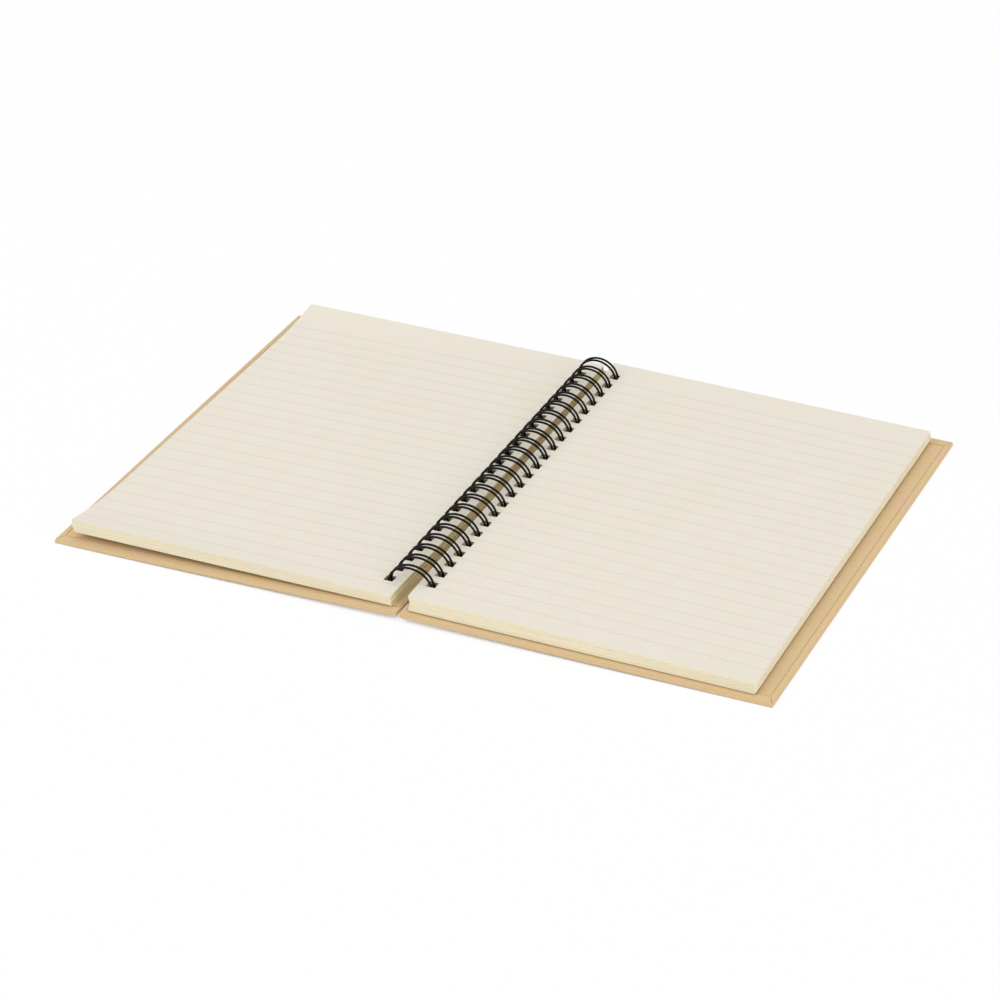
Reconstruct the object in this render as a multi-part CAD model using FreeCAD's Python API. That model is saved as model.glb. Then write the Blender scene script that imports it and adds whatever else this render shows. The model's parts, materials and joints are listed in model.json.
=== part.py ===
# Open A5 notebook with two hard covers, two blocks of ruled sheets and a twin-loop wire binding.
# Millimetres. The spine runs along Y, the covers spread along X, and Z = 0 is the table.
import FreeCAD
import Part
import math
import os

# Sheets, more of them on the right than turned over to the left
sheet_width = 148.0
sheet_length = 210.0
right_thickness = 6.0
left_thickness = 4.6
sheet_corner = 0.8
hole_inset = 5.4
hole_size = 4.0

# Hard covers: board wrapped in kraft paper, with a pasted liner inside
cover_width = 158.2
cover_length = 217.0
board_thickness = 1.6
cover_corner = 1.0
wrapped_edge = 0.4
liner_end_inset = 4.8
liner_fore_inset = 2.4
liner_spine_inset = 1.0
liner_thickness = 0.2
liner_corner = 0.5
spine_gap = 1.5
cover_slot_width = 4.6

# Twin-loop wire
loop_count = 23
loop_pitch = 25.4 / 3
wire_diameter = 0.96
twin_spacing = 2.4
seam_angle = 13.0

# Clearances
closed_gap = 0.4
ring_drop = 2.1
slot_inside = 0.9
slot_outside = 1.4

# Heights measured from the ring's axis, straight down through a cover that lies level
liner_depth = (right_thickness + left_thickness + closed_gap) / 2
board_depth = liner_depth + liner_thickness
cover_depth = board_depth + board_thickness
axis_height = cover_depth + ring_drop

# Ring
wire_radius = wire_diameter / 2
bend_radius = twin_spacing / 2
seam = math.radians(seam_angle)
ring_radius = (axis_height - wire_radius - bend_radius * math.sin(seam)) / math.cos(seam)

# Each cover leans from the spine down to its fore edge, which lies on the table
cover_start = spine_gap / 2
fore_edge = cover_start + cover_width
corner_distance = math.hypot(cover_depth, fore_edge)
lean = math.degrees(math.asin(axis_height / corner_distance) - math.atan2(cover_depth, fore_edge))

loop_centres = [(i - (loop_count - 1) / 2) * loop_pitch for i in range(loop_count)]


def vec(x, y, z):
    return FreeCAD.Vector(x, y, z)


def washer(inner, outer, width, y):
    """A ring around the wire's axis, which clears the wire at every opening angle."""
    start = vec(0, y - width / 2, 0)
    along = vec(0, 1, 0)
    return Part.makeCylinder(outer, width, start, along).cut(Part.makeCylinder(inner, width, start, along))


def cut_slots(solid, inner, outer, width):
    slots = [washer(inner, outer, width, y) for y in loop_centres]
    return solid.cut(Part.makeCompound(slots)).Solids[0]


def upright_edges(solid):
    """Edges that run from face to face of a flat piece, at its corners."""
    boxes = [(edge, edge.BoundBox) for edge in solid.Edges]
    return [edge for edge, box in boxes if box.YLength < 1e-3 and box.ZLength > box.XLength]


def plate(x_start, width, length, depth, thickness, corner):
    """A flat rectangle with rounded corners, its underside at the given depth below the axis."""
    solid = Part.makeBox(width, length, thickness, vec(x_start, -length / 2, -depth))
    return solid.makeFillet(corner, upright_edges(solid))


def flat_rim_edges(solid, depth):
    return [e for e in solid.Edges if e.BoundBox.ZLength < 1e-3 and abs(e.BoundBox.Center.z + depth) < 1e-3]


def make_board():
    board = plate(cover_start, cover_width, cover_length, cover_depth, board_thickness, cover_corner)
    rim = flat_rim_edges(board, cover_depth) + flat_rim_edges(board, board_depth)
    board = board.makeFillet(wrapped_edge, rim)
    return cut_slots(board, ring_radius - slot_inside, ring_radius + slot_outside, cover_slot_width)


def make_liner():
    width = cover_width - liner_fore_inset - liner_spine_inset
    length = cover_length - 2 * liner_end_inset
    start = cover_start + liner_spine_inset
    liner = plate(start, width, length, board_depth, liner_thickness, liner_corner)
    return cut_slots(liner, ring_radius - slot_inside, ring_radius + slot_outside, cover_slot_width)


def arc_point(depth, shift):
    """Where a circle like the ring's, moved sideways, crosses the level at this depth."""
    return vec(shift + math.sqrt(ring_radius ** 2 - depth ** 2), -sheet_length / 2, -depth)


def make_block(thickness):
    """Equal sheets threaded on the ring, so both long edges of the block follow its curve."""
    page_depth = liner_depth - thickness
    middle = (page_depth + liner_depth) / 2
    spine = [arc_point(d, -hole_inset) for d in (page_depth, middle, liner_depth)]
    fore = [arc_point(d, sheet_width - hole_inset) for d in (page_depth, middle, liner_depth)]
    outline = Part.Wire([
        Part.Arc(*spine).toShape(),
        Part.makeLine(spine[2], fore[2]),
        Part.Arc(fore[2], fore[1], fore[0]).toShape(),
        Part.makeLine(fore[0], spine[0]),
    ])
    block = Part.Face(outline).extrude(vec(0, sheet_length, 0))
    block = block.makeFillet(sheet_corner, upright_edges(block))
    half = hole_size / 2
    return cut_slots(block, ring_radius - half, ring_radius + half, hole_size)


def ring_point(side, y):
    """An end of a loop's big arc, beside the seam at the bottom of the ring."""
    return vec(side * ring_radius * math.sin(seam), y, -ring_radius * math.cos(seam))


def seam_direction(side):
    return vec(-side * math.cos(seam), 0, -math.sin(seam))


def big_arc(first_side, y):
    return Part.Arc(ring_point(first_side, y), vec(0, y, ring_radius), ring_point(-first_side, y)).toShape()


def loop_tip(y):
    """The rounded closed end that joins a loop's two wires on the left of the seam."""
    apex = ring_point(-1, y) + seam_direction(-1) * bend_radius
    return Part.Arc(ring_point(-1, y - bend_radius), apex, ring_point(-1, y + bend_radius)).toShape()


def quarter_bend(start, centre, end):
    corner = (start - centre) + (end - centre)
    return Part.Arc(start, centre + corner * (bend_radius / corner.Length), end).toShape()


def link(y, next_y):
    """The short straight wire from one loop to the next, on the right of the seam."""
    across = vec(0, bend_radius, 0)
    out = seam_direction(1) * bend_radius
    leave = ring_point(1, y + bend_radius)
    arrive = ring_point(1, next_y - bend_radius)
    first = leave + across + out
    last = arrive - across + out
    return [
        quarter_bend(leave, leave + across, first),
        Part.makeLine(first, last),
        quarter_bend(last, arrive - across, arrive),
    ]


def make_wire():
    edges = []
    for i, y in enumerate(loop_centres):
        edges += [big_arc(1, y - bend_radius), loop_tip(y), big_arc(-1, y + bend_radius)]
        if i + 1 < loop_count:
            edges += link(y, loop_centres[i + 1])
    path = Part.Wire(edges)
    start = ring_point(1, loop_centres[0] - bend_radius)
    section = Part.Face(Part.Wire(Part.makeCircle(wire_radius, start, seam_direction(1))))
    return path.makePipe(section).Solids[0]


def stand(solid, side):
    """Lean a right-hand piece onto the table, or its mirror image for the left-hand side."""
    placed = solid.copy()
    placed.rotate(vec(0, 0, 0), vec(0, 1, 0), lean)
    if side < 0:
        placed = placed.mirror(vec(0, 0, 0), vec(1, 0, 0))
    placed.translate(vec(0, 0, axis_height))
    return placed


def make_all():
    board = make_board()
    liner = make_liner()
    wire = make_wire()
    wire.translate(vec(0, 0, axis_height))
    return {
        "front_cover": stand(board, -1),
        "front_cover_liner": stand(liner, -1),
        "left_pages": stand(make_block(left_thickness), -1),
        "back_cover": stand(board, 1),
        "back_cover_liner": stand(liner, 1),
        "right_pages": stand(make_block(right_thickness), 1),
        "binding_wire": wire,
    }


os.makedirs("parts", exist_ok=True)
for name, shape in make_all().items():
    shape.exportStep("parts/" + name + ".step")
    box = shape.BoundBox
    print(name, shape.ShapeType, shape.isValid(), len(shape.Solids), round(shape.Volume, 1),
          [round(v, 2) for v in (box.XMin, box.XMax, box.YMin, box.YMax, box.ZMin, box.ZMax)])
print("ring radius", round(ring_radius, 3), "axis height", round(axis_height, 3), "lean", round(lean, 3))
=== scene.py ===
import bpy
import bmesh
import json
import math
import random
from mathutils import Matrix, Vector


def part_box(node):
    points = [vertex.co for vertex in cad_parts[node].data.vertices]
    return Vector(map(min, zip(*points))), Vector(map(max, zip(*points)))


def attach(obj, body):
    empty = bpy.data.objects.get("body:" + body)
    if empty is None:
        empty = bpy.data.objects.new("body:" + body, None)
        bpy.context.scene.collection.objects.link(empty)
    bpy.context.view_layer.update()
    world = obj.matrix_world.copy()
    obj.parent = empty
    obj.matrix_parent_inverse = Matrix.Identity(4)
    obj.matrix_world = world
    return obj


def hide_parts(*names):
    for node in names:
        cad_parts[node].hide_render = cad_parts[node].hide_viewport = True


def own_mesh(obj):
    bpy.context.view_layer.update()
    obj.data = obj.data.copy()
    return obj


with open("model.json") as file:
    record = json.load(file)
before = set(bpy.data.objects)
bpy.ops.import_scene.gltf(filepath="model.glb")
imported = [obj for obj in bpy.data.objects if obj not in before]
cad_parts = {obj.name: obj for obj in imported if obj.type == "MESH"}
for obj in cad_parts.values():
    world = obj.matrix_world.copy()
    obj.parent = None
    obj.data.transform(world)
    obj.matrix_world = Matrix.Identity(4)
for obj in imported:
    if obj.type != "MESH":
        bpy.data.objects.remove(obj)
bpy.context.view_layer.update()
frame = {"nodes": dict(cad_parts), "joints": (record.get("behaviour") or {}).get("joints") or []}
print("frame loaded:", sorted(frame["nodes"]))

mm = 0.001
toMm = 1000.0

# what the pieces share, in millimetres, as in the part's source
book = {
    "sheetWidth": 148.0,
    "sheetLength": 210.0,
    "rightThickness": 6.0,
    "leftThickness": 4.6,
    "closedGap": 0.4,         # between the blocks when the book is shut
    "holeSize": 4.0,
    "boardThickness": 1.6,
    "linerThickness": 0.2,
    "spineGap": 1.5,          # between the two covers
    "loopCount": 23,
    "loopPitch": 25.4 / 3,
    "wireDiameter": 0.96,
}

turnJoint = next(j for j in frame["joints"] if j["name"] == "front_cover_turn")
axisHeight = turnJoint["pos_m"][2] * toMm
wireRadius = book["wireDiameter"] / 2
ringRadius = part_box("binding_wire")[1][2] * toMm - axisHeight - wireRadius
linerDepth = (book["rightThickness"] + book["leftThickness"] + book["closedGap"]) / 2
boardDepth = linerDepth + book["linerThickness"]
coverDepth = boardDepth + book["boardThickness"]
coverStart = book["spineGap"] / 2
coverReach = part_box("back_cover")[1][0] * toMm       # fore edge from the middle of the spine
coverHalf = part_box("back_cover")[1][1] * toMm        # middle to the foot or head
foreDistance = math.hypot(coverDepth, coverReach)
lean = math.asin(axisHeight / foreDistance) - math.atan2(coverDepth, coverReach)
loopCentres = [(i - (book["loopCount"] - 1) / 2) * book["loopPitch"] for i in range(book["loopCount"])]


def place(side, u, y, w):
    # u runs out from the ring's axis along a leaning half of the book, w up from that half
    x = u * math.cos(lean) + w * math.sin(lean)
    z = w * math.cos(lean) - u * math.sin(lean)
    return Vector((side * x * mm, y * mm, (axisHeight + z) * mm))


# short ways to the nodes that the materials share

def linear(hexColour):
    parts = [int(hexColour[i:i + 2], 16) / 255 for i in (0, 2, 4)]
    return [p / 12.92 if p <= 0.04045 else ((p + 0.055) / 1.055) ** 2.4 for p in parts] + [1.0]


def addNode(tree, kind, inputs=None, **settings):
    node = tree.nodes.new(kind)
    for name, value in settings.items():
        setattr(node, name, value)
    for key, value in (inputs or {}).items():
        if isinstance(value, bpy.types.NodeSocket):
            tree.links.new(value, node.inputs[key])
        else:
            node.inputs[key].default_value = value
    return node


def addMath(tree, operation, *values):
    return addNode(tree, "ShaderNodeMath", dict(enumerate(values)), operation=operation).outputs[0]


def addNoise(tree, vector, scale, detail=2.0, roughness=0.5, distortion=0.0):
    inputs = {"Vector": vector, "Scale": scale, "Detail": detail, "Roughness": roughness,
              "Distortion": distortion}
    return addNode(tree, "ShaderNodeTexNoise", inputs).outputs[0]


def addRange(tree, value, low=0.0, high=1.0, toLow=0.0, toHigh=1.0):
    inputs = {"Value": value, "From Min": low, "From Max": high, "To Min": toLow, "To Max": toHigh}
    return addNode(tree, "ShaderNodeMapRange", inputs).outputs[0]


def addMix(tree, share, first, second):
    return addNode(tree, "ShaderNodeMix", {0: share, 6: first, 7: second}, data_type="RGBA").outputs[2]


def addCoords(tree):
    return addNode(tree, "ShaderNodeTexCoord").outputs["Object"]


def newMaterial(name):
    material = bpy.data.materials.new(name)
    material.use_nodes = True
    material.node_tree.nodes.clear()
    return material, material.node_tree


def finishMaterial(tree, colour, roughness, height, look):
    bump = addNode(tree, "ShaderNodeBump", {
        "Strength": look["bumpStrength"], "Distance": look["bumpDepth"] * mm, "Height": height})
    shader = addNode(tree, "ShaderNodeBsdfPrincipled", {
        "Base Color": colour, "Roughness": roughness, "IOR": look["ior"],
        "Specular IOR Level": look["specular"], "Normal": bump.outputs[0]})
    addNode(tree, "ShaderNodeOutputMaterial", {"Surface": shader.outputs[0]})


# camera: the photograph's angle, fitted to the loop feet and the corners
view = {
    "focalPixels": 3345.3,
    "imageWidth": 1000,
    "sensor": 36.0,
    "azimuth": 25.912,
    "elevation": 30.62,
    "roll": -1.924,
    "target": (-2.33, -6.59, 0.0),
    "distance": 1412.0,
    "clipStart": 0.05,        # in metres, and the end too
    "clipEnd": 20,
}

azimuth = math.radians(view["azimuth"])
elevation = math.radians(view["elevation"])
roll = math.radians(view["roll"])
back = Vector((
    math.sin(azimuth) * math.cos(elevation),
    -math.cos(azimuth) * math.cos(elevation),
    math.sin(elevation),
))
right = (-back).cross(Vector((0, 0, 1))).normalized()
up = right.cross(-back)
rolledRight = right * math.cos(roll) + up * math.sin(roll)
rolledUp = up * math.cos(roll) - right * math.sin(roll)
cameraData = bpy.data.cameras.new("photoCamera")
cameraData.sensor_width = view["sensor"]
cameraData.lens = view["focalPixels"] * view["sensor"] / view["imageWidth"]
cameraData.clip_start = view["clipStart"]
cameraData.clip_end = view["clipEnd"]
camera = bpy.data.objects.new("photoCamera", cameraData)
cameraPlace = (Vector(view["target"]) + back * view["distance"]) * mm
cameraTurn = Matrix((rolledRight, rolledUp, back)).transposed().to_4x4()
camera.matrix_world = Matrix.Translation(cameraPlace) @ cameraTurn
bpy.context.scene.collection.objects.link(camera)
bpy.context.scene.camera = camera
print("camera placed")


# the loops' shape: pressed a little flat, more so at the foot end
wire = {
    "footHalfWidth": 9.5,
    "headHalfWidth": 9.0,
    "footHalfHeight": 8.15,
    "headHalfHeight": 8.7,
    "footShift": -0.9,        # loops lean towards the left page
    "headShift": -0.4,
    "twinSpacing": 2.4,
    "seamAngle": 12.0,
    "arcSteps": 44,
    "bendSteps": 7,
    "sides": 12,
    "sharpAngle": 60,
}
seam = math.radians(wire["seamAngle"])
bend = wire["twinSpacing"] / 2


def loopShape(y):
    # half width, half height, middle and centre height of the loop at this place along the spine
    t = (y - loopCentres[0]) / (loopCentres[-1] - loopCentres[0])
    halfWidth = wire["footHalfWidth"] + (wire["headHalfWidth"] - wire["footHalfWidth"]) * t
    halfHeight = wire["footHalfHeight"] + (wire["headHalfHeight"] - wire["footHalfHeight"]) * t
    shift = wire["footShift"] + (wire["headShift"] - wire["footShift"]) * t
    slope = math.hypot(halfWidth * math.cos(seam), halfHeight * math.sin(seam))
    centre = halfHeight * math.cos(seam) + bend * halfHeight * math.sin(seam) / slope + wireRadius
    return halfWidth, halfHeight, shift, centre


def ringReach(side, height):
    # how far out a half's sheets hang on the wire at this height
    halfWidth, halfHeight, shift, centre = loopShape(0)
    return halfWidth * math.sqrt(1 - ((height - centre) / halfHeight) ** 2) + side * shift


# slabs with square openings, which sheets and boards are made of

def cornerRounded(u, y, low, high, half, radius):
    # presses a square grid's corners into an arc
    a = max(low + radius - u, u - high + radius, 0)
    b = max(abs(y) - half + radius, 0)
    if a == 0 or b == 0:
        return u, y
    scale = max(a, b) / math.hypot(a, b)
    newU = u + a * (1 - scale) if u < (low + high) / 2 else u - a * (1 - scale)
    newY = y - math.copysign(b * (1 - scale), y)
    return newU, newY


def addSlab(bm, spot, columns, rows, isOpen, wallSlots):
    # spot(i, j, level) gives a grid point's place, level 0 below and 1 above
    made = {}

    def point(i, j, level):
        key = (i, j, level)
        if key not in made:
            made[key] = bm.verts.new(spot(i, j, level))
        return made[key]

    def solid(i, j):
        return 0 <= i < columns - 1 and 0 <= j < rows - 1 and not isOpen(i, j)

    for i in range(columns - 1):
        for j in range(rows - 1):
            if not solid(i, j):
                continue
            ring = [(i, j), (i + 1, j), (i + 1, j + 1), (i, j + 1)]
            bm.faces.new([point(a, b, 1) for a, b in ring])
            bm.faces.new([point(a, b, 0) for a, b in reversed(ring)])
            neighbours = [(i, j - 1), (i + 1, j), (i, j + 1), (i - 1, j)]
            for beside, p, q in zip(neighbours, ring, ring[1:] + ring[:1]):
                if solid(*beside):
                    continue
                wall = bm.faces.new([point(*p, 0), point(*q, 0), point(*q, 1), point(*p, 1)])
                if isOpen(*beside):
                    wall.material_index = wallSlots["opening"]
                elif beside[0] < 0:
                    wall.material_index = wallSlots["spine"]
                else:
                    wall.material_index = wallSlots["rim"]


def finishMesh(bm, name, materials, sharpAngle):
    bmesh.ops.recalc_face_normals(bm, faces=bm.faces)
    for face in bm.faces:
        face.smooth = True
    for edge in bm.edges:
        edge.smooth = edge.calc_face_angle(0) < math.radians(sharpAngle)
    mesh = bpy.data.meshes.new(name)
    bm.to_mesh(mesh)
    bm.free()
    for material in materials:
        mesh.materials.append(material)
    piece = bpy.data.objects.new(name, mesh)
    bpy.context.scene.collection.objects.link(piece)
    return piece


paper = {
    "page": "EBE4D8",
    "pageWarm": "EAE3D2",
    "cloud": 24.0,
    "rule": "B4AAB7",         # faint lilac-grey offset ink
    "ruleStrength": 0.28,
    "ruleWidth": 0.55,
    "ruleSoftness": 0.15,     # of the width, to each side of the ink's edge
    "rulePitch": 8.0,
    "ruleCount": 24,
    "leftFirstRule": 86.9,    # from the middle of the sheet
    "rightFirstRule": 89.2,
    "fibre": 0.6,             # wood fibre clouds, drawn wider than real ones so that they show
    "roughness": 0.92,
    "look": {"ior": 1.48, "specular": 0.25, "bumpStrength": 0.12, "bumpDepth": 0.05},
}

# A cut stack's stripes: a sheet is 0.08 mm, drawn coarser so that the layers show.
# The spine side's stripes are coarser and run from near white to a deep olive, painted shade of the narrow
# crevice between the blocks and under the wire; the hole walls are darkened all over, painted shade of the
# holes' recesses.
cutPaper = {
    "edge": {"light": "F7EFD4", "dark": "DCCE9E", "darkShare": 0.4, "stripe": 0.35},
    # spine face: the deep olive stripes are painted shade of the crevice between the blocks, under the wire
    "spine": {"light": "FFF5C8", "dark": "A68E4E", "darkShare": 1.0, "stripe": 0.8},
    # hole walls: darkened all over, painted shade of the punched holes' recesses
    "holeWallShade": {"light": "C4B680", "dark": "7C6638", "darkShare": 1.0, "stripe": 0.35},
    "stripeLength": 60,
    "darkFrom": 0.38,
    "darkTo": 0.68,
    "roughness": 0.95,
    "look": {"ior": 1.48, "specular": 0.2, "bumpStrength": 0.4, "bumpDepth": 0.08},
}


def ruledPaper(name, firstRule):
    # uncoated wood-free paper, machine-made: a dead matt cream surface, with offset-printed ruling
    material, tree = newMaterial(name)
    coords = addCoords(tree)
    pitch = paper["rulePitch"]
    along = addNode(tree, "ShaderNodeSeparateXYZ", {0: coords}).outputs["Y"]
    steps = addMath(tree, "MULTIPLY_ADD", along, toMm / pitch, -firstRule / pitch)
    repeated = addMath(tree, "PINGPONG", steps, 1.0)
    folded = addMath(tree, "PINGPONG", repeated, 0.5)
    offRule = addMath(tree, "MULTIPLY", folded, pitch)
    inkStart = paper["ruleWidth"] * (0.5 - paper["ruleSoftness"])
    inkEnd = paper["ruleWidth"] * (0.5 + paper["ruleSoftness"])
    onRule = addRange(tree, offRule, inkStart, inkEnd, toLow=paper["ruleStrength"], toHigh=0.0)
    belowFirst = addMath(tree, "LESS_THAN", steps, 0.5)
    aboveLast = addMath(tree, "GREATER_THAN", steps, 0.5 - paper["ruleCount"])
    printed = addMath(tree, "MULTIPLY", belowFirst, aboveLast)
    ruleShare = addMath(tree, "MULTIPLY", onRule, printed)
    cloud = addNoise(tree, coords, toMm / paper["cloud"], detail=3.0, roughness=0.6)
    body = addMix(tree, cloud, linear(paper["page"]), linear(paper["pageWarm"]))
    inked = addMix(tree, ruleShare, body, linear(paper["rule"]))
    fibre = addNoise(tree, coords, toMm / paper["fibre"], detail=4.0, roughness=0.7)
    finishMaterial(tree, inked, paper["roughness"], fibre, paper["look"])
    return material


def cutPaperEdge(name, cut):
    # cut paper stack: yellower than the page, with fine stripes where sheets catch or lose the light
    material, tree = newMaterial(name)
    length = toMm / cutPaper["stripeLength"]
    stretch = addNode(tree, "ShaderNodeMapping", {
        "Vector": addCoords(tree), "Scale": (length, length, toMm / cut["stripe"])})
    stripes = addNoise(tree, stretch.outputs[0], 1.0, detail=3.0, roughness=0.6)
    share = addRange(tree, stripes, cutPaper["darkFrom"], cutPaper["darkTo"], toHigh=cut["darkShare"])
    colour = addMix(tree, share, linear(cut["light"]), linear(cut["dark"]))
    finishMaterial(tree, colour, cutPaper["roughness"], stripes, cutPaper["look"])
    return material


sheets = {
    "bundles": 14,            # sheets move in bundles of four or five
    "shuffle": 0.12,          # how far a bundle slides on the wire
    "skewShare": 0.7,         # how much of that it also turns by
    "corner": 1.0,
    "cornerSteps": (0, 0.4, 0.75, 1),
    "plainMargin": 6,         # from the holes to the first plain column
    "plainColumns": 12,
    "air": 0.012,             # between bundles
    "undercut": 1.4,          # the lowest sheets stand back, which leaves a dark joint on the cover
    "undercutHeight": 0.55,
    "foreRunIn": 10,          # over how much of the sheet the undercut grows towards the fore edge
    "endRunIn": 3,            # and towards the foot and the head
    "footTurnRate": 5,        # the foot's turn ends a fifth of the way up the sheet
    "lengthenRate": 12,       # and the longer foot a twelfth
    "pressed": 0.68,          # what a shutting cover leaves of its sheets' loose height
    "wallSlots": {"rim": 1, "spine": 2, "opening": 3},
    "sharpAngle": 40,
    "seed": 23,
}

# How the sheets lie, against their closed stack. Lifts: at the spine, at the middle of the fore edge and at
# its corners. Slides towards the spine: of the top and bottom sheets at the foot end, what they gain just
# above the foot, and what the head end adds. Lengthen: how much further the lowest sheets reach at the foot.
# The holes' inset counts from the sheet's spine edge to the wire, which isn't in the middle of the hole.
leftLay = {
    "holeInset": 6.4,
    "spineTop": 0.75,
    "headDrop": 0.4,          # what the lift at the spine loses towards the head
    "middleTop": 1.7,
    "cornerTop": 4.6,
    "middleFoot": 0.7,        # the lowest sheet's lifts, at the same two places as the top sheet's
    "cornerFoot": 2.7,
    "cornerwards": 9.0,       # the power by which the lift grows towards the corners
    "topSlide": -0.9,
    "bottomSlide": -1.9,
    "footTurn": 0.9,
    "swing": 1.1,
    "lengthen": 0.0,
}
rightLay = {
    "holeInset": 5.4,
    "spineTop": 0.85,
    "headDrop": 0.0,
    "middleTop": -0.9,
    "cornerTop": -0.9,
    "middleFoot": 0.0,
    "cornerFoot": 0.0,
    "cornerwards": 4.0,
    "topSlide": 0.1,
    "bottomSlide": -1.2,
    "footTurn": 0.2,
    "swing": 0.8,
    "lengthen": 0.6,
}


def smoothStep(t):
    t = max(0, min(t, 1))
    return t * t * (3 - 2 * t)


def makeSheets(name, side, thickness, lay, seed, materials):
    rng = random.Random(seed)
    bm = bmesh.new()
    half = book["sheetLength"] / 2
    width = book["sheetWidth"]
    inset = lay["holeInset"]
    corner = sheets["corner"]
    halfHole = book["holeSize"] / 2
    steps = [t * corner for t in sheets["cornerSteps"]]
    holeEdges = [y + s * halfHole for y in loopCentres for s in (-1, 1)]
    rows = [-half + t for t in steps] + holeEdges + [half - t for t in reversed(steps)]
    holeLow = inset - halfHole
    holeHigh = inset + halfHole
    plainStart = holeHigh + sheets["plainMargin"]
    plainWidth = (width - corner - plainStart) / sheets["plainColumns"]
    across = steps + [holeLow, holeHigh]
    across += [plainStart + plainWidth * i for i in range(sheets["plainColumns"])]
    across += [width - t for t in reversed(steps)]
    holeColumn = across.index(holeLow)
    firstHoleRow = len(steps)
    bundle = (thickness - sheets["undercutHeight"]) / (sheets["bundles"] - 1)
    levels = [0] + [sheets["undercutHeight"] + bundle * k for k in range(sheets["bundles"])]

    for k in range(sheets["bundles"]):
        slideOut = rng.uniform(-1, 1) * sheets["shuffle"]
        slideAlong = rng.uniform(-1, 1) * sheets["shuffle"]
        skew = rng.uniform(-1, 1) * sheets["shuffle"] * sheets["skewShare"]
        middle = (levels[k] + levels[k + 1]) / 2
        height = axisHeight - linerDepth + middle + lay["spineTop"] * middle / thickness
        start = ringReach(side, height) - inset
        slide = lay["bottomSlide"] + (lay["topSlide"] - lay["bottomSlide"]) * middle / thickness
        undercut = sheets["undercut"] if k == 0 else 0
        lengthen = lay["lengthen"] * (1 - middle / thickness)

        def spot(i, j, level):
            u, y = cornerRounded(across[i], rows[j], 0, width, half, corner)
            out = u / width
            along = (y + half) / (2 * half)
            share = levels[k + level] / thickness
            cornerShare = (abs(y) / half) ** lay["cornerwards"]
            foot = lay["middleFoot"] + (lay["cornerFoot"] - lay["middleFoot"]) * cornerShare
            top = lay["middleTop"] + (lay["cornerTop"] - lay["middleTop"]) * cornerShare
            spine = lay["spineTop"] - lay["headDrop"] * along
            lift = (foot * (1 - share) + top * share) * out + spine * share * (1 - out)
            gap = sheets["air"] if level == 0 and k > 0 else 0
            w = -linerDepth + levels[k + level] + gap + lift
            footTurn = lay["footTurn"] * smoothStep(along * sheets["footTurnRate"])
            inwards = slide + footTurn + lay["swing"] * along
            pulledIn = undercut * smoothStep(1 - (width - u) / sheets["foreRunIn"])
            shortened = undercut * max(abs(y) - half + sheets["endRunIn"], 0) / sheets["endRunIn"]
            lengthened = lengthen * smoothStep(1 - along * sheets["lengthenRate"])
            y -= math.copysign(shortened, y) + lengthened
            return place(side, start + u - inwards - pulledIn + slideOut, y + slideAlong + skew * out, w)

        def isHole(i, j):
            inRow = firstHoleRow <= j < firstHoleRow + len(holeEdges) and (j - firstHoleRow) % 2 == 0
            return i == holeColumn and inRow

        addSlab(bm, spot, len(across), len(rows), isHole, sheets["wallSlots"])
    return finishMesh(bm, name, materials, sheets["sharpAngle"])


edgePaper = cutPaperEdge("guillotinedPaper", cutPaper["edge"])
# the spine face's material, with painted shade stripes of the crevice between the blocks
spineStripesPaintedShade = cutPaperEdge("trimmedPaperSpinePaintedShade", cutPaper["spine"])
# the hole walls' material is painted shade of the holes
holeWallsPaintedShade = cutPaperEdge("punchedHoleWallsPaintedShade", cutPaper["holeWallShade"])
rightPaper = ruledPaper("uncoatedPaperRight", paper["rightFirstRule"])
leftPaper = ruledPaper("uncoatedPaperLeft", paper["leftFirstRule"])
leftSheets = makeSheets("leftSheets", -1, book["leftThickness"], leftLay, sheets["seed"],
                        [leftPaper, edgePaper, spineStripesPaintedShade, holeWallsPaintedShade])
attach(leftSheets, "left_pages")
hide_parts("left_pages")
rightSheets = makeSheets("rightSheets", 1, book["rightThickness"], rightLay, sheets["seed"] + 1,
                         [rightPaper, edgePaper, spineStripesPaintedShade, holeWallsPaintedShade])
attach(rightSheets, "right_pages")
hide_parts("right_pages")
for block, side, joint in ((leftSheets, -1, "front_cover_turn"), (rightSheets, 1, "back_cover_turn")):
    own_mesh(block)
print("sheets made:", len(leftSheets.data.polygons), "faces a block")


kraft = {
    "wrap": "DBC190",
    "wrapPink": "DDBD9A",
    "fleck": "B98F58",
    "liner": "DAC291",
    "patch": 22.0,            # cloudy patches where the glue dried
    "patchFrom": 0.35,
    "patchTo": 0.7,
    "fibreLength": 3.0,       # kraft fibres, drawn about twice their real width so that they show
    "fibreWidth": 0.35,
    "fibreTurn": 0.12,
    "fibreFrom": 0.52,
    "fibreTo": 0.8,
    "fibreShare": 0.35,
    "roughness": 0.78,
    "look": {"ior": 1.5, "specular": 0.35, "bumpStrength": 0.25, "bumpDepth": 0.06},
}


def kraftPaper(name, ground):
    # unbleached kraft paper, pasted on board: matt tan with long darker fibres and faint glue clouds
    material, tree = newMaterial(name)
    coords = addCoords(tree)
    patches = addNoise(tree, coords, toMm / kraft["patch"], detail=4.0, roughness=0.55)
    patchShare = addRange(tree, patches, kraft["patchFrom"], kraft["patchTo"])
    cloudy = addMix(tree, patchShare, linear(ground), linear(kraft["wrapPink"]))
    thin = toMm / kraft["fibreWidth"]
    lengthwise = addNode(tree, "ShaderNodeMapping", {
        "Vector": coords, "Rotation": (0, 0, kraft["fibreTurn"]),
        "Scale": (toMm / kraft["fibreLength"], thin, thin)})
    fibres = addNoise(tree, lengthwise.outputs[0], 1.0, detail=3.0, roughness=0.65, distortion=0.6)
    fibreShare = addRange(tree, fibres, kraft["fibreFrom"], kraft["fibreTo"], toHigh=kraft["fibreShare"])
    fibrous = addMix(tree, fibreShare, cloudy, linear(kraft["fleck"]))
    finishMaterial(tree, fibrous, kraft["roughness"], fibres, kraft["look"])
    return material


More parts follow.
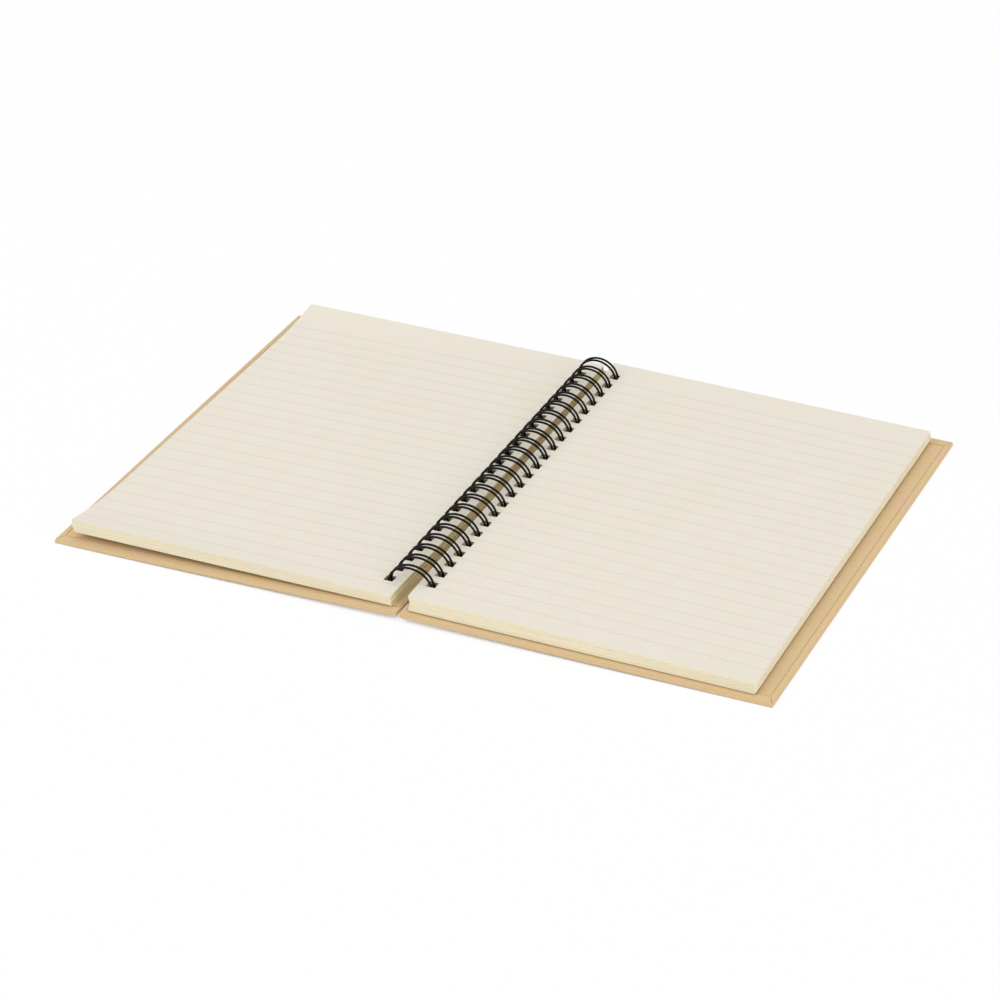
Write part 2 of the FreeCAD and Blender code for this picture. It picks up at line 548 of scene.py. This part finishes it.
cover = {
    "foreFold": 0.6,          # the wrap's fold reaches a little past the plain board
    "corner": 0.3,
    "cornerSteps": (0.55, 0.8, 1),
    "softEdge": 0.3,          # the wrap's soft radius over the board's edges
    "softAngles": (0, 30, 60, 90),
    "slotInside": 0.9,        # slot walls from the wire's centre line
    "slotOutside": 1.4,
    "slotWidth": 4.6,
    "plainStart": 14.0,       # the first plain column, from the ring's axis
    "plainColumns": 10,
    "endTurnIn": 4.4,         # how far the wrap is folded in over head and foot, just short of the liner
    "foreTurnIn": 2.3,
    "turnInThickness": 0.3,
    "turnInSink": 0.05,       # how far the turn-ins reach into the board
    "mitreGap": 0.25,
    "mitreIn": 2.4,           # where the mitre meets the liner's corner
    "mitreAlong": 4.8,
    "wallSlots": {"rim": 0, "spine": 0, "opening": 0},
    "sharpAngle": 35,
}
foreEdge = coverReach + cover["foreFold"]


def addTurnIns(bm, side):
    # the wrap's turn-ins: end flaps with mitred corners, and the fore edge's flap between them
    half = coverHalf
    softEdge = cover["softEdge"]
    top = -boardDepth + cover["turnInThickness"]
    bottom = -boardDepth - cover["turnInSink"]

    def addFlap(outline):
        upper = [bm.verts.new(place(side, u, y, top)) for u, y in outline]
        lower = [bm.verts.new(place(side, u, y, bottom)) for u, y in outline]
        bm.faces.new(upper)
        bm.faces.new(list(reversed(lower)))
        for i in range(len(outline)):
            k = (i + 1) % len(outline)
            bm.faces.new([lower[i], lower[k], upper[k], upper[i]])

    slope = cover["mitreAlong"] / cover["mitreIn"]
    gap = cover["mitreGap"]
    for end in (-1, 1):
        outer = half - softEdge
        inner = half - cover["endTurnIn"]
        # mitre line: along = slope x in, both counted from the corner
        foreOuter = foreEdge - max(softEdge / slope, softEdge) - gap
        foreInner = foreEdge - cover["endTurnIn"] / slope - gap
        spineOuter = coverStart + softEdge
        addFlap([(foreOuter, end * outer), (foreInner, end * inner), (spineOuter, end * inner),
                 (spineOuter, end * outer)])
    outer = foreEdge - softEdge
    inner = foreEdge - cover["foreTurnIn"]
    longEnd = half - max(softEdge * slope, softEdge)
    shortEnd = half - cover["foreTurnIn"] * slope
    addFlap([(outer, -longEnd), (outer, longEnd), (inner, shortEnd), (inner, -shortEnd)])


def makeCover(name, side, materials):
    bm = bmesh.new()
    half = coverHalf
    softEdge = cover["softEdge"]
    corner = cover["corner"]
    rim = [softEdge * (1 - math.cos(math.radians(a))) for a in cover["softAngles"]]
    inRim = sorted(set(rim + [corner * t for t in cover["cornerSteps"]]))
    slotEdges = [y + s * cover["slotWidth"] / 2 for y in loopCentres for s in (-1, 1)]
    rows = [-half + t for t in inRim] + slotEdges + [half - t for t in reversed(inRim)]
    # the slots' walls follow the ring, so spot works out these two columns from the depth
    slotReach = {"inner": ringRadius - cover["slotInside"], "outer": ringRadius + cover["slotOutside"]}
    plainStart = cover["plainStart"]
    plainWidth = (foreEdge - corner - plainStart) / cover["plainColumns"]
    across = [coverStart + t for t in inRim[:len(rim)]] + list(slotReach)
    across += [plainStart + plainWidth * i for i in range(cover["plainColumns"])]
    across += [foreEdge - t for t in reversed(inRim)]
    slotColumn = across.index("inner")
    firstSlotRow = len(inRim)

    def spot(i, j, level):
        depth = boardDepth if level else coverDepth
        u = across[i]
        if u in slotReach:
            u = math.sqrt(slotReach[u] ** 2 - depth ** 2)
        fromRim = min(u - coverStart, foreEdge - u, half - abs(rows[j]))
        short = max(softEdge - fromRim, 0)
        drop = softEdge - math.sqrt(max(softEdge ** 2 - short ** 2, 0))
        u, y = cornerRounded(u, rows[j], coverStart, foreEdge, half, corner)
        return place(side, u, y, -depth - drop if level else -depth + drop)

    def isSlot(i, j):
        inRow = firstSlotRow <= j < firstSlotRow + len(slotEdges) and (j - firstSlotRow) % 2 == 0
        return i == slotColumn and inRow

    addSlab(bm, spot, len(across), len(rows), isSlot, cover["wallSlots"])
    addTurnIns(bm, side)
    return finishMesh(bm, name, materials, cover["sharpAngle"])


kraftWrap = kraftPaper("kraftPaperWrap", kraft["wrap"])
kraftLiner = kraftPaper("kraftPaperLiner", kraft["liner"])
for name, side, node in (("frontCoverBoard", -1, "front_cover"), ("backCoverBoard", 1, "back_cover")):
    piece = makeCover(name, side, [kraftWrap])
    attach(piece, node)
    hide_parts(node)
for node in ("front_cover_liner", "back_cover_liner"):
    for materialSlot in frame["nodes"][node].material_slots:
        materialSlot.material = kraftLiner
print("covers made")


coat = {
    "nylon": "060606",
    "smoothest": 0.23,        # roughness between the bumps of the coat, and on them
    "roughest": 0.36,
    "grain": 0.5,
    "look": {"ior": 1.53, "specular": 0.12, "bumpStrength": 0.15, "bumpDepth": 0.02},
}


def nylonCoatedWire():
    # steel wire, dipped in black nylon: near-black with clear soft-box highlights and a faint orange peel
    material, tree = newMaterial("nylonDippedWire")
    peel = addNoise(tree, addCoords(tree), toMm / coat["grain"])
    gloss = addRange(tree, peel, toLow=coat["smoothest"], toHigh=coat["roughest"])
    finishMaterial(tree, linear(coat["nylon"]), gloss, peel, coat["look"])
    return material


def seamEnd(side, y):
    # where a loop's arc ends beside the seam, and which way it runs there
    halfWidth, halfHeight, shift, centre = loopShape(y)
    end = Vector((side * halfWidth * math.sin(seam) + shift, y, centre - halfHeight * math.cos(seam)))
    ahead = Vector((-side * halfWidth * math.cos(seam), 0, -halfHeight * math.sin(seam))).normalized()
    return end, ahead


def loopArc(side, y, shapeY):
    # one wire from beside the seam, over the top, to the seam's other side
    halfWidth, halfHeight, shift, centre = loopShape(shapeY)
    span = 2 * (math.pi - seam)
    points = []
    for i in range(wire["arcSteps"] + 1):
        angle = seam + span * i / wire["arcSteps"]
        x = side * halfWidth * math.sin(angle) + shift
        points.append(Vector((x, y, centre - halfHeight * math.cos(angle))))
    return points


def roundTurn(centre, start, end):
    # a bend about its centre from one arm to the other, both ends left out
    count = wire["bendSteps"] + 1
    angle = start.angle(end)
    points = []
    for i in range(1, count):
        startShare = math.sin(angle * (1 - i / count))
        endShare = math.sin(angle * i / count)
        points.append(centre + (start * startShare + end * endShare) / math.sin(angle))
    return points


def wirePath():
    across = Vector((0, bend, 0))
    path = []
    for index, y in enumerate(loopCentres):
        path += loopArc(1, y - bend, y)
        end, ahead = seamEnd(-1, y)
        tip = ahead * bend
        path += roundTurn(end, -across, tip) + [end + tip]
        path += roundTurn(end, tip, across)
        path += loopArc(-1, y + bend, y)
        if index + 1 < len(loopCentres):
            leave, outwards = seamEnd(1, y)
            arrive, inwards = seamEnd(1, loopCentres[index + 1])
            leave = leave + across * 2
            arrive = arrive - across * 2
            path += roundTurn(leave, -across, outwards * bend) + [leave + outwards * bend]
            path += [arrive + inwards * bend] + roundTurn(arrive, inwards * bend, across)
    return path


def makeWire(name, material):
    path = wirePath()
    bm = bmesh.new()
    rings = []
    normal = Vector((0, 1, 0))
    for index, point in enumerate(path):
        before = path[max(index - 1, 0)]
        after = path[min(index + 1, len(path) - 1)]
        along = (after - before).normalized()
        normal = (normal - along * normal.dot(along)).normalized()
        sideways = along.cross(normal)
        ring = []
        for step in range(wire["sides"]):
            angle = 2 * math.pi * step / wire["sides"]
            outwards = normal * math.cos(angle) + sideways * math.sin(angle)
            ring.append(bm.verts.new((point + outwards * wireRadius) * mm))
        rings.append(ring)
    for first, second in zip(rings, rings[1:]):
        for step in range(wire["sides"]):
            following = (step + 1) % wire["sides"]
            bm.faces.new([first[step], first[following], second[following], second[step]])
    bm.faces.new(rings[0])
    bm.faces.new(list(reversed(rings[-1])))
    return finishMesh(bm, name, [material], wire["sharpAngle"])


twinLoopWire = makeWire("twinLoopWire", nylonCoatedWire())
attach(twinLoopWire, "binding")
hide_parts("binding_wire")
print("wire made:", len(twinLoopWire.data.polygons), "faces")


studio = {
    "floorSize": 6.0,
    "floorColour": "FCFCFC",
    "floorGlow": 0.9,         # share of the floor that the camera sees as plain white
    "nook": 0.004,            # the floor in gaps narrower than this stays dark
    "nookSamples": 8,
    "nookDark": 0.15,         # openness up to which nothing glows, and from which all of it does
    "nookOpen": 0.45,
    "fill": 0.55,
    "lampSize": 2.0,
}
lamps = {
    "keySoftbox": {"place": (-1.7, -1.5, 2.2), "power": 24.0},
    "topSoftbox": {"place": (-0.2, 0.5, 2.8), "power": 19.0},
    "sideSoftbox": {"place": (2.9, -1.4, 1.2), "power": 35.0},
}
white = (1, 1, 1, 1)


def seenDirectly(tree):
    # camera, glossy and transmission rays see the plain white background
    path = addNode(tree, "ShaderNodeLightPath")
    first = addMath(tree, "MAXIMUM", path.outputs["Is Camera Ray"], path.outputs["Is Glossy Ray"])
    return addMath(tree, "MAXIMUM", first, path.outputs["Is Transmission Ray"])


floorMaterial, floorTree = newMaterial("whitePaperSweep")
nooks = addNode(floorTree, "ShaderNodeAmbientOcclusion", {"Distance": studio["nook"]},
                samples=studio["nookSamples"])
openness = addRange(floorTree, nooks.outputs["AO"], studio["nookDark"], studio["nookOpen"],
                    toHigh=studio["floorGlow"])
glowShare = addMath(floorTree, "MULTIPLY", seenDirectly(floorTree), openness)
matt = addNode(floorTree, "ShaderNodeBsdfDiffuse", {"Color": linear(studio["floorColour"])})
glow = addNode(floorTree, "ShaderNodeEmission", {"Color": white, "Strength": 1.0})
floorMix = addNode(floorTree, "ShaderNodeMixShader", {0: glowShare, 1: matt.outputs[0], 2: glow.outputs[0]})
addNode(floorTree, "ShaderNodeOutputMaterial", {"Surface": floorMix.outputs[0]})

reach = studio["floorSize"] / 2
floorCorners = [(-reach, -reach, 0), (reach, -reach, 0), (reach, reach, 0), (-reach, reach, 0)]
floorMesh = bpy.data.meshes.new("floorSweep")
floorMesh.from_pydata(floorCorners, [], [(0, 1, 2, 3)])
floorMesh.materials.append(floorMaterial)
floor = bpy.data.objects.new("floorSweep", floorMesh)
bpy.context.scene.collection.objects.link(floor)

world = bpy.data.worlds.new("studioTent")
world.use_nodes = True
world.node_tree.nodes.clear()
strength = addRange(world.node_tree, seenDirectly(world.node_tree), toLow=studio["fill"])
tent = addNode(world.node_tree, "ShaderNodeBackground", {"Color": white, "Strength": strength})
addNode(world.node_tree, "ShaderNodeOutputWorld", {"Surface": tent.outputs[0]})
bpy.context.scene.world = world

for name, lamp in lamps.items():
    data = bpy.data.lights.new(name, "AREA")
    data.shape = "SQUARE"
    data.size = studio["lampSize"]
    data.energy = lamp["power"]
    softbox = bpy.data.objects.new(name, data)
    softbox.location = lamp["place"]
    softbox.rotation_euler = (-Vector(lamp["place"])).to_track_quat("-Z", "Y").to_euler()
    bpy.context.scene.collection.objects.link(softbox)
bpy.context.scene.view_settings.view_transform = "Standard"
print("studio lit")
